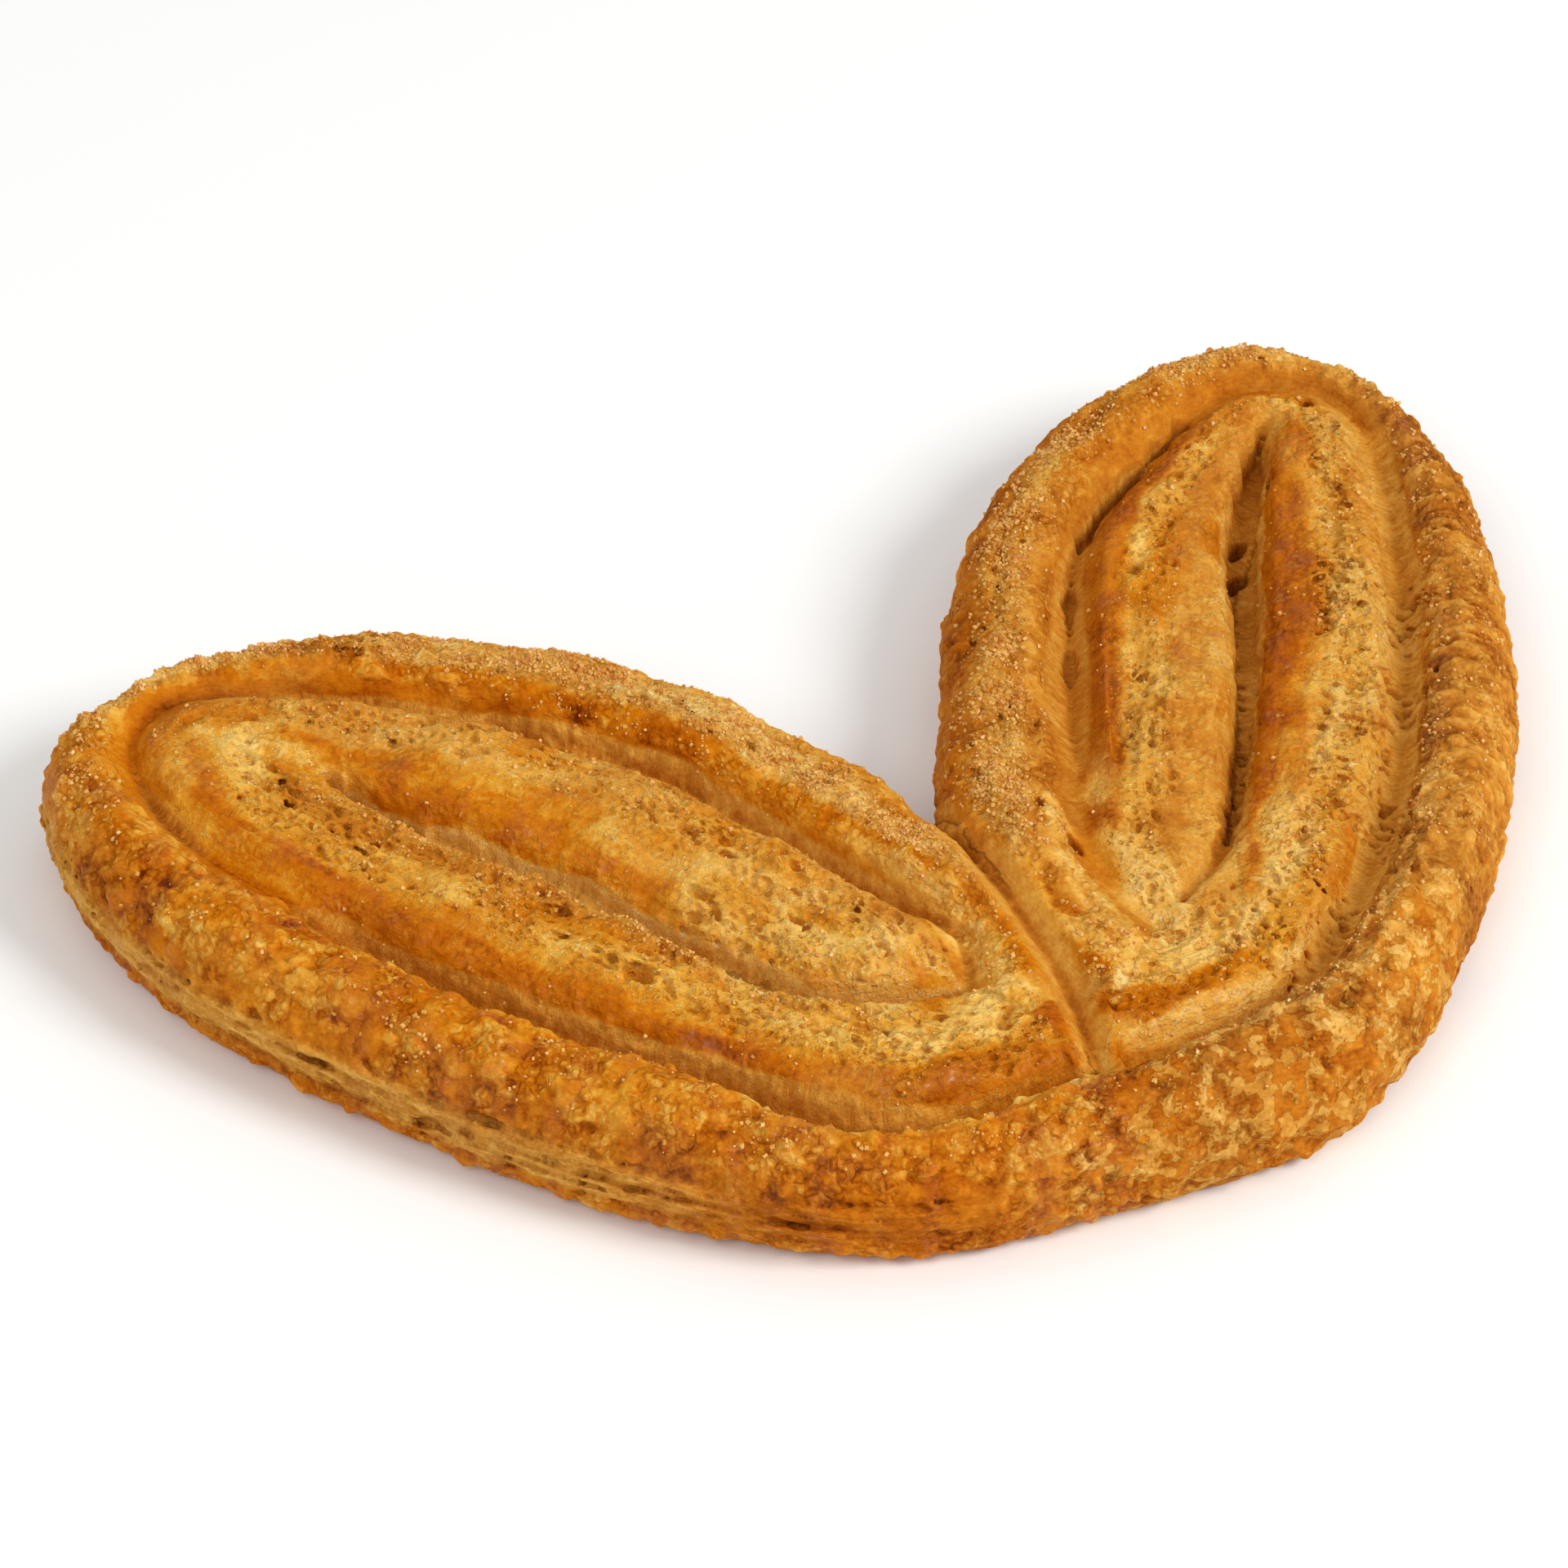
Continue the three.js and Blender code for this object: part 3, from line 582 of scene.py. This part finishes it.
# a plain value, or one that goes by the number of the crease's points
def byPoint(value, spokes):
    return np.interp(spokes, *zip(*value)) if isinstance(value, list) else value


# the seam lies inside the heart, from below the notch down
inHeart = step(-planY, 5, 13) * step(rimDistance, 0.5, 3)
for name, far, share in (("seam", seam["far"], inHeart),
                         ("leftTip", place["far"], left * hill(spoke, 3.0, 4.4, 7.4, 8.8)),
                         ("rightGroove", place["far"], (1 - left) * step(spoke, 0.6, 1.2))):
    valley = valleys[name]
    floors = (byPoint(valley["floor"], spoke) + byPoint(valley["rise"], spoke) * far).astype(np.float32)
    near = (far < valleyEdge["width"]) & (share > 0)
    floors = (floors - valleyEdge["fadeDepth"] * (1 - share))[near]
    fill = np.maximum(axisZ - floors[:, None], far[near][:, None] - valley["reach"])
    field[near] = melt(field[near], fill, valleyEdge["softness"])

wobble = (trenchWall["wobble"] * noiseAt(seed + 12, place["along"] / 2.2, left)
          + trenchWall["fineWobble"] * noiseAt(seed + 13, place["along"] / 0.6, left))
for name, allowed in (("leftFissure", inner), ("rightFissure", inner),
                      ("leftGroove", onLeft), ("rightGroove", ~onLeft)):
    line, floorAt = creases[name], trenches[name]["floor"]
    halfWidth = byPoint(trenches[name]["halfWidth"], line["spoke"]) + wobble
    near = (line["far"] < trenchWall["width"]) & allowed
    walls = (line["far"] - halfWidth)[near][:, None] - trenchWall["slope"] * (axisZ - floorAt)
    field[near] = np.maximum(field[near], -np.maximum(walls, floorAt - axisZ).astype(np.float32))

print("strewing")
toneAndPaintedShade = np.zeros(field.shape, np.float16)


# carves or adds an ellipsoid: centre, its three unit axes and their radii
def stamp(centre, axes, radii, carve, tone, softness=0.2):
    reach = max(radii) + 2 * voxel
    first = np.maximum(((centre - reach) / voxel - low).astype(int), 0)
    last = np.minimum(((centre + reach) / voxel - low).astype(int) + 2, field.shape)
    if (last <= first).any():
        return
    window = tuple(slice(a, b) for a, b in zip(first, last))
    x, y, z = (axis[part] - off for axis, part, off in zip((axisX, axisY, axisZ), window, centre))
    total = 0
    for axis, radius in zip(axes, radii):
        total = total + ((x[:, None, None] * axis[0] + y[None, :, None] * axis[1]
                          + z[None, None, :] * axis[2]) / radius) ** 2
    away = (np.sqrt(total) - 1) * min(radii)
    field[window] = np.maximum(field[window], -away) if carve else melt(field[window], away, softness)
    # tone of the stamp's surface: paler on melted lumps, and painted shade inside what is carved
    toneAndPaintedShade[window] = np.where(away < 0.6 * voxel, tone, toneAndPaintedShade[window])


# unit axes at a surface voxel: along the ribbon, across it and out of the surface
def axesAt(cell, turn):
    normal = np.array([field[tuple(np.minimum(np.add(cell, side), np.array(field.shape) - 1))]
                       - field[tuple(np.subtract(cell, side))] for side in np.eye(3, dtype=int)], float)
    normal /= np.linalg.norm(normal) + 1e-9
    nx, ny = acrossX[cell[:2]], acrossY[cell[:2]]
    nx, ny = nx * math.cos(turn) - ny * math.sin(turn), nx * math.sin(turn) + ny * math.cos(turn)
    along = np.array([-ny, nx, 0.0])
    along -= along.dot(normal) * normal
    along /= np.linalg.norm(along) + 1e-9
    return along, np.cross(normal, along), normal


rng = np.random.default_rng(seed + 20)
clusters = step(noiseAt(seed + 21, planX / 5, planY / 5), -1.0, 1.2)
for zone, number, alongs, acrosses, ups, tone in scattered:
    skin = np.nonzero((np.abs(field) < 0.5 * voxel) & (axisZ > strewing["lowest"]))
    chance = (zones[zone] * clusters)[skin[:2]]
    if zone == "layers":
        chance = chance * hill(axisZ[skin[2]], *strewing["layerHeights"])
    elif ups[0] > 0:
        chance = chance * step(rimDistance, *strewing["rimFade"])[skin[:2]]
    for index in rng.choice(len(chance), number, p=chance / chance.sum(dtype=float)):
        cell = tuple(int(part[index]) for part in skin)
        axes = axesAt(cell, rng.normal(0, strewing["turn"]))
        big = rng.random() ** strewing["mostlySmall"]
        along, across, up = (a + (b - a) * big for a, b in (alongs, acrosses, ups))
        centre = np.array([axis[part] for axis, part in zip((axisX, axisY, axisZ), cell)])
        centre += axes[2] * (-strewing["lumpSink"] * abs(up) if up > 0 else strewing["poreSink"] * up)
        stamp(centre, axes, (along, across, abs(up)), up < 0 or zone == "layers",
              tone * rng.uniform(*strewing["toneSpread"]))
# single holes, carved and painted darker inside: painted shade in each hole
for x, y, along, across, deep in relief["holes"]:
    row, nx, ny = nearest(x, y)
    topHere = axisZ[field.shape[2] - 1 - np.argmax(field[row][::-1] < 0)]
    stamp(np.array([axisX[row[0]], axisY[row[1]], topHere - relief["holeSink"]]),
          ((nx, ny, 0), (-ny, nx, 0), (0, 0, 1)), (across, along, deep), True, relief["paintedHoleShade"])

print("meshing")
grid = openvdb.FloatGrid(background=dough["band"])
grid.copyFromArray(field, ijk=tuple(int(value) for value in low))
grid.transform = openvdb.createLinearTransform(voxelSize=voxel)
points, triangles, quads = grid.convertToPolygons(isovalue=0.0, adaptivity=dough["merging"])
points = np.clip(points, corners.min(0), corners.max(0))
print("triangles", len(triangles) + 2 * len(quads))


# a mesh from points and from arrays of faces, one array for each number of corners
def makeMesh(name, points, faces, material, smooth=True):
    cornerCounts = np.concatenate([np.full(len(group), group.shape[1]) for group in faces])
    mesh = bpy.data.meshes.new(name)
    mesh.vertices.add(len(points))
    mesh.vertices.foreach_set("co", (points * mm).astype(np.float32).ravel())
    mesh.loops.add(int(cornerCounts.sum()))
    indices = np.concatenate([group.ravel() for group in faces]).astype(np.int32)
    mesh.loops.foreach_set("vertex_index", indices)
    mesh.polygons.add(len(cornerCounts))
    mesh.polygons.foreach_set("loop_start", (np.cumsum(cornerCounts) - cornerCounts).astype(np.int32))
    mesh.polygons.foreach_set("use_smooth", np.full(len(cornerCounts), smooth))
    mesh.update(calc_edges=True)
    mesh.validate()
    mesh.materials.append(material)
    piece = bpy.data.objects.new(name, mesh)
    bpy.context.scene.collection.objects.link(piece)
    return piece


# value of a map or grid at each point
def sample(values):
    index = [np.clip((points[:, axis] / voxel - low[axis] + 0.5).astype(int), 0, field.shape[axis] - 1)
             for axis in range(values.ndim)]
    return values[tuple(index)].astype(np.float32)


print("colours")
# scales of the patterns, and how much each pattern bakes, dulls and raises the surface
looks = {
    "crust": [(0.0, colour(240, 196, 92)), (0.25, colour(224, 158, 40)), (0.5, colour(204, 117, 4)),
              (0.75, colour(178, 88, 2)), (1.0, colour(112, 44, 0))],
    "dullCrust": [(0.0, colour(240, 202, 130)), (0.25, colour(222, 170, 88)), (0.5, colour(194, 136, 54)),
                  (0.75, colour(158, 98, 32)), (1.0, colour(108, 60, 16))],
    "wander": 900, "drift": 0.0007, "grain": 260, "lumps": 1050, "patches": 620, "flakes": 480,
    "speckle": 1500, "mottle": 850, "pores": 1.3, "dust": 2600, "bumps": 2200,
    "bumpStrength": 0.8, "bumpDepth": 0.0004,
    "baked": {"dust": -0.22, "mottle": 0.3, "pores": 0.18, "threads": 0.5, "layering": 0.6, "flakes": -0.20},
    "dulled": {"dust": 0.4, "flakes": 0.45, "paleGrain": 0.2},
    "raised": {"dust": 0.6, "bumps": 0.5, "pores": -1.0, "threads": 1.2, "layering": 0.8, "flakes": 0.6,
               "lumps": 0.9},
}
pastry = Nodes("baked pastry", Specular_IOR_Level=0.02, Subsurface_Weight=0.3, Subsurface_Scale=0.0012,
               Subsurface_Radius=(1.0, 0.5, 0.15))
spots = pastry.coordinates()
# the same places pushed about a little, so that no lump has straight edges
drift = pastry.add("ShaderNodeTexNoise", None, output=1, Vector=spots, Scale=looks["wander"], Detail=2)
wander = pastry.mix(looks["drift"], spots, drift)
# in the bands' own directions: pores of the crumb, threads across the walls, layers along the ribbon
flow = pastry.add("ShaderNodeAttribute", {"attribute_name": "flow"}, output=1)


def voronoi(places, scale, output=1, **settings):
    return pastry.add("ShaderNodeTexVoronoi", settings, output=output, Vector=places, Scale=scale)


# noise drawn out along the ribbon, across it or upwards
def drawnOut(*stretch):
    stretched = pastry.add("ShaderNodeVectorMath", {"operation": "MULTIPLY"}, flow, stretch)
    return pastry.noise(stretched, 1, 3.0, 0.6) - 0.5


# lumps of crust with thin cracks between them, each lump its own tone; the cracks are darker and the middles
# paler, partly the crust's own colour and partly painted shade in the cracks
grainy = pastry.attribute("grainy") * (0.25 + pastry.noise(wander, looks["grain"]).step(0.40, 0.58) * 0.75)
crumble = voronoi(wander, looks["lumps"], 0, feature="DISTANCE_TO_EDGE").step(0.0, 0.42)
pale = (voronoi(wander, looks["lumps"]) * 0.6 + voronoi(wander, looks["patches"]) * 0.4).step(0.46, 0.66)
speckle = pastry.noise(spots, looks["speckle"], 4.0, 0.65) - 0.5
patterns = {
    "flakes": pastry.noise(wander, looks["flakes"], 5.0, 0.6).step(0.50, 0.54) * pastry.attribute("flaky"),
    "mottle": pastry.noise(spots, looks["mottle"], 3.0, 0.6) - 0.5,
    # small pores, painted darker inside: painted shade in the holes, with a bump
    "pores": (1 - voronoi(flow, looks["pores"], 0).step(0.16, 0.42)) * pastry.attribute("pory"),
    "threads": drawnOut(3.0, 0.35, 0.35) * pastry.attribute("thready"),
    "layering": drawnOut(0.16, 2.4, 2.4) * pastry.attribute("layered"),
    "dust": pastry.noise(spots, looks["dust"]).step(0.56, 0.66) * pastry.attribute("dusty"),
    "bumps": pastry.noise(spots, looks["bumps"], 3.0, 0.6),
    "lumps": grainy * crumble,
    "paleGrain": grainy * pale,
}


def summed(start, shares):
    for name, amount in shares.items():
        start = start + patterns[name] * amount
    return start


# crumble darkens the cracks between lumps and pales their middles: partly the crust's colour, partly painted
# shade
bakeNow = summed(pastry.attribute("bake") + speckle * (grainy * 0.25 + 0.4)
                 + grainy * (0.20 - crumble * 0.22 - pale * 0.21), looks["baked"])
dullNow = summed(pastry.attribute("dull"), looks["dulled"])
warm, grey = pastry.ramp(bakeNow, looks["crust"]), pastry.ramp(bakeNow, looks["dullCrust"])
pastry.set(Base_Color=pastry.mix(dullNow, warm, grey),
           Roughness=pastry.attribute("rough"), Coat_Weight=pastry.attribute("glaze"), Coat_Roughness=0.2,
           Normal=pastry.add("ShaderNodeBump", None, Strength=looks["bumpStrength"],
                             Distance=looks["bumpDepth"], Height=summed(0.0, looks["raised"])))

body = makeMesh("pastry", points, (triangles, quads), pastry.material)
# how far the surface stands out or sinks in, used for painted light on peaks and painted shade in hollows
lift = np.clip(sample(blurred(np.clip(field, -2, 2), 0.8)) / 0.35, -1, 1)
depth = dough["crest"] - dough["sink"] * sample(step(rimDistance, 11, 20)) - points[:, 2]
at = {name: sample(values) for name, values in zones.items()}
patchy = sample(noiseAt(seed + 30, planX / 6, planY / 6)).clip(-2, 2)
blotchy = sample(noiseAt(seed + 31, planX / 1.8, planY / 1.8)).clip(-2, 2)
streaky = sample(ribbonNoise(seed + 32, 9, 1.0)).clip(-2, 2)


# value at each point of what is known at the shell only
def sampleShell(values):
    volume = np.zeros(field.shape, np.float16)
    volume[shell] = values
    return sample(volume)


# how baked and how dull the parts are, and how much the broad patches change that; also the painted shade in
# creases and hollows and the painted light on peaks
paint = {
    "start": 0.02, "patchy": 0.055, "blotchy": 0.05, "streaky": 0.03, "darkest": 0.76,
    "streak": 0.8, "streakBlotchy": 0.04, "wallDepth": (2.4, 3.1), "wallReach": (2.4, 3.2), "glazeDrop": 0.6,
    "paintedShadeDeeper": 0.04, "seam": 0.32, "seamDull": 0.5, "paintedCreaseShadow": 0.16, "side": 0.56, "sideShare": 0.7,
    "layers": 0.38, "layersAtHeel": 0.22, "layersDull": 0.95, "layersDullAtHeel": -0.65, "layersShare": 0.85,
    "flake": 0.12, "blister": 0.03, "bark": -0.09, "paleLump": 0.07, "paintedPeakLight": 0.08, "paintedHollowShade": 0.16,
}
layered = sampleShell(layered)
ridged = sampleShell(bark)
tonedAndPaintedShade = sample(toneAndPaintedShade)
onSide = step(9.5 - points[:, 2], 0, 3) * step(4.5 - sample(rimDistance), 0, 2.5)


def onProfile(profile, position):
    stops, baked, dullness = zip(*profile)
    return np.interp(position, stops, baked), np.interp(position, stops, dullness)


bake = np.zeros(len(points), np.float32)
dull = np.zeros(len(points), np.float32)
for name, profile in bandColours.items():
    across, part = (bandShare, inner) if "Inner" in name else (outward, ~inner)
    weight = sample(part * (left if "left" in name else 1 - left) * (front if "Front" in name else 1 - front))
    baked, dullness = onProfile(profile, sample(across) + 0.03 * patchy)
    bake += weight * baked
    dull += weight * dullness
within = sample(inner)
bake += paint["start"] + paint["patchy"] * patchy + paint["blotchy"] * blotchy + paint["streaky"] * streaky
bake = np.minimum(bake, paint["darkest"])
for x, y, along, across, baked, dullness in streaks:
    here = paint["streak"] * sample(streak(x, y, along, across))
    bake = blend(bake, baked + paint["streakBlotchy"] * blotchy, here)
    dull = blend(dull, dullness, here)

# walls of the creases, from a depth below the crest on; at its start the right groove's glaze runs lower
glazedStart = sample((1 - left) * inner * (1 - step(spoke, 1.4, 2.6)))
wallNow = step(depth + 0.4 * patchy - paint["glazeDrop"] * glazedStart, *paint["wallDepth"])
wallNow = wallNow * (1 - step(sample(anyCrease), *paint["wallReach"]))
nearCleft = sample(((cleft["far"] < place["far"]) & inner).astype(np.float32))
leftHere = sample(left)
for name, share in (("leftWall", leftHere), ("rightWall", 1 - leftHere),
                    ("leftCleft", nearCleft * leftHere), ("rightCleft", nearCleft * (1 - leftHere))):
    baked, dullness = onProfile(wallColours[name], sample(spoke))
    # further down the walls they are painted darker: painted shade in the creases
    baked = baked + 0.05 * patchy + paint["paintedShadeDeeper"] * np.maximum(depth - 3, 0)
    bake = blend(bake, baked, wallNow * share)
    dull = blend(dull, dullness, wallNow * share)
inSeam = sample(inHeart * (1 - step(seam["far"], 0.8, 2.4)))
bake = blend(bake, paint["seam"] + 0.05 * patchy, inSeam)
dull = blend(dull, paint["seamDull"], inSeam)
# painted shadow: a thin dark line along the shallow creases
paintedCreaseShadow = left * hill(spoke, 3.2, 4.2, 7.4, 8.6) * (1 - step(place["far"], 0.2, 0.9))
paintedCreaseShadow = np.maximum(paintedCreaseShadow, inHeart * (1 - step(seam["far"], 0.15, 0.8)))
bake += paint["paintedCreaseShadow"] * sample(paintedCreaseShadow)

# the side of the crust, and the layers that show in it
plainSide = onSide * (1 - layered) * (1 - sample(streak(-12, -53, 11, 8)))
bake = blend(bake, paint["side"] + 0.05 * patchy, paint["sideShare"] * plainSide)
towardHeel = step(sample(planX), -56, -34)
layerBake = paint["layers"] + paint["layersAtHeel"] * towardHeel + 0.06 * streaky
bake = blend(bake, layerBake, paint["layersShare"] * layered)
layerDull = paint["layersDull"] + paint["layersDullAtHeel"] * towardHeel
dull = blend(dull, layerDull, paint["layersShare"] * layered)
bake += tonedAndPaintedShade + paint["flake"] * at["flake"] + paint["blister"] * at["blister"]
bake += paint["bark"] * at["bark"] * ridged.clip(-1.5, 1.5)
# lift is above 0 on peaks, which get painted light (paler), and below 0 in hollows, which get painted shade
# (darker and warmer)
dull += np.where(tonedAndPaintedShade < 0, paint["paleLump"], 0) - 0.15 * within * np.maximum(-lift, 0)
bake -= lift * np.where(lift > 0, paint["paintedPeakLight"], paint["paintedHollowShade"]) * (1 - 0.7 * within)
paleInside = within * (1 - step(bake, 0.2, 0.42))

# how much of each pattern of the material there is at each point
grains = {"blister": 1, "bark": 0.7, "flake": 0.7, "strip": 0.8, "edge": 0.8, "ridge": 0.9, "crumb": 0.2,
          "flank": 0.5}
offWall = 1 - wallNow
shares = {
    "bake": bake, "dull": dull, "flaky": at["flake"], "rough": 0.6 - 0.15 * at["flank"],
    "grainy": sum(amount * at[name] for name, amount in grains.items()) * offWall * (1 - 0.8 * layered),
    "pory": (np.clip(at["crumb"] + 0.6 * at["comb"] + 0.5 * at["strip"] + paleInside, 0, 1)
             * (0.6 + 0.25 * patchy) * offWall),
    "thready": at["comb"] + at["web"] + wallNow,
    "dusty": at["crumb"] + at["strip"] + at["ridge"] + at["comb"] + 0.4 * within + 0.6 * paleInside,
    "layered": np.clip(0.35 * within + 0.4 * at["strip"], 0, 1) * offWall + 1.2 * layered,
    "glaze": (at["flank"] * (0.08 + 0.2 * step(blotchy, 0.2, 1.4))
              + 0.15 * at["blister"] * step(blotchy, 0, 1)) * offWall,
}
for name, values in shares.items():
    attribute = body.data.attributes.new(name, "FLOAT", "POINT")
    attribute.data.foreach_set("value", np.clip(values, 0, 1).astype(np.float32))
flowNow = np.stack([sample(place["along"]) / 1.5, sample(signedFar), points[:, 2]], 1).astype(np.float32)
body.data.attributes.new("flow", "FLOAT_VECTOR", "POINT").data.foreach_set("vector", flowNow.ravel())
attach(body, "root")
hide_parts("palmier")

print("sugar")
sugar = {"grains": 11000, "smallest": 0.15, "largest": 0.45, "seed": 3, "lowest": 2.0,
         "on": {"blister": 0.14, "bark": 0.2, "flake": 0.14, "strip": 1.5, "edge": 0.25, "ridge": 0.5,
                "crumb": 0.12, "flank": 0.03},
         "mostlySmall": 2.2, "lift": 0.04, "dark": colour(206, 134, 48), "light": colour(230, 178, 94)}
rng = np.random.default_rng(sugar["seed"])
normals = np.empty(len(points) * 3, np.float32)
body.data.vertices.foreach_get("normal", normals)
normals = normals.reshape(-1, 3)
heaps = 0.2 + step(sample(noiseAt(seed + 40, planX / 3, planY / 3)), -0.3, 1.8)
chance = heaps * sum(share * at[name] for name, share in sugar["on"].items())
chance = chance * sample(step(rimDistance, 0.8, 2.5)) * (points[:, 2] > sugar["lowest"])
chance = chance * np.clip(normals[:, 2] + 0.4, 0, 1)
count = sugar["grains"]
chosen = rng.choice(len(points), count, p=chance / chance.sum(dtype=float))
cube = np.array([(x, y, z) for x in (-1, 1) for y in (-1, 1) for z in (-1, 1)], float)
cubeFaces = np.array([(0, 1, 3, 2), (4, 6, 7, 5), (0, 4, 5, 1), (2, 3, 7, 6), (0, 2, 6, 4), (1, 5, 7, 3)])
spread = sugar["largest"] - sugar["smallest"]
edges = sugar["smallest"] + spread * rng.random((count, 1)) ** sugar["mostlySmall"]
shape = cube[None] * (0.5 * edges * rng.uniform(0.7, 1.2, (count, 3)))[:, None, :]
shape *= rng.uniform(0.7, 1.0, (count, 8, 1))
turns = np.linalg.qr(rng.normal(size=(count, 3, 3)))[0]
shape = np.einsum("nij,nkj->nki", turns, shape) + (points + normals * sugar["lift"])[chosen][:, None, :]
shape = np.clip(shape, corners.min(0), corners.max(0))
crystal = Nodes("sugar", Specular_IOR_Level=0.35, Roughness=0.28)
tone = crystal.noise(crystal.coordinates(), 600).step(0.35, 0.65)
crystal.set(Base_Color=crystal.mix(tone, sugar["dark"], sugar["light"]))
sugarFaces = (cubeFaces[None] + 8 * np.arange(count)[:, None, None]).reshape(-1, 4)
sugarPiece = makeMesh("sugar", shape.reshape(-1, 3), (sugarFaces,), crystal.material, smooth=False)
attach(sugarPiece, "root")

print("stage")
studio = {
    "floor": 3.0, "floorDrop": 0.0002, "floorColour": colour(253, 253, 251), "sky": 0.60,
    "elevation": 40.0, "azimuth": -28.85, "distance": 0.7, "lens": 164.06, "sensor": 36,
    "aim": (-0.0076, 0.0137, 0.006),
    # name, place, size, power
    "lamps": [("key", (0.55, -0.75, 0.8), 0.5, 9), ("fill", (-0.7, -0.5, 0.9), 0.6, 3)],
}
floorMesh = bpy.data.meshes.new("floor")
half = studio["floor"] / 2
floorCorners = [(-half, -half, 0), (half, -half, 0), (half, half, 0), (-half, half, 0)]
floorMesh.from_pydata(floorCorners, [], [(0, 1, 2, 3)])
floor = bpy.data.objects.new("floor", floorMesh)
floor.location.z = -studio["floorDrop"]
floorMesh.materials.append(Nodes("pale floor", Base_Color=studio["floorColour"], Roughness=0.8).material)
bpy.context.scene.collection.objects.link(floor)

world = bpy.data.worlds.new("studio")
bpy.context.scene.world = world
world.use_nodes = True
world.node_tree.nodes["Background"].inputs["Color"].default_value = (1, 1, 1, 1)
world.node_tree.nodes["Background"].inputs["Strength"].default_value = studio["sky"]
for name, stand, size, power in studio["lamps"]:
    lamp = bpy.data.lights.new(name, "AREA")
    lamp.shape = "DISK"
    lamp.size = size
    lamp.energy = power
    holder = bpy.data.objects.new(name, lamp)
    holder.location = stand
    holder.rotation_euler = (-Vector(stand)).to_track_quat("-Z", "Y").to_euler()
    bpy.context.scene.collection.objects.link(holder)

angle, rise = math.radians(studio["azimuth"]), math.radians(studio["elevation"])
back = Vector((math.sin(angle) * math.cos(rise), -math.cos(angle) * math.cos(rise), math.sin(rise)))
lens = bpy.data.cameras.new("camera")
lens.lens = studio["lens"]
lens.sensor_width = studio["sensor"]
camera = bpy.data.objects.new("camera", lens)
camera.location = Vector(studio["aim"]) + back * studio["distance"]
camera.rotation_euler = back.to_track_quat("Z", "Y").to_euler()
bpy.context.scene.collection.objects.link(camera)
bpy.context.scene.camera = camera
bpy.context.scene.view_settings.view_transform = "Standard"
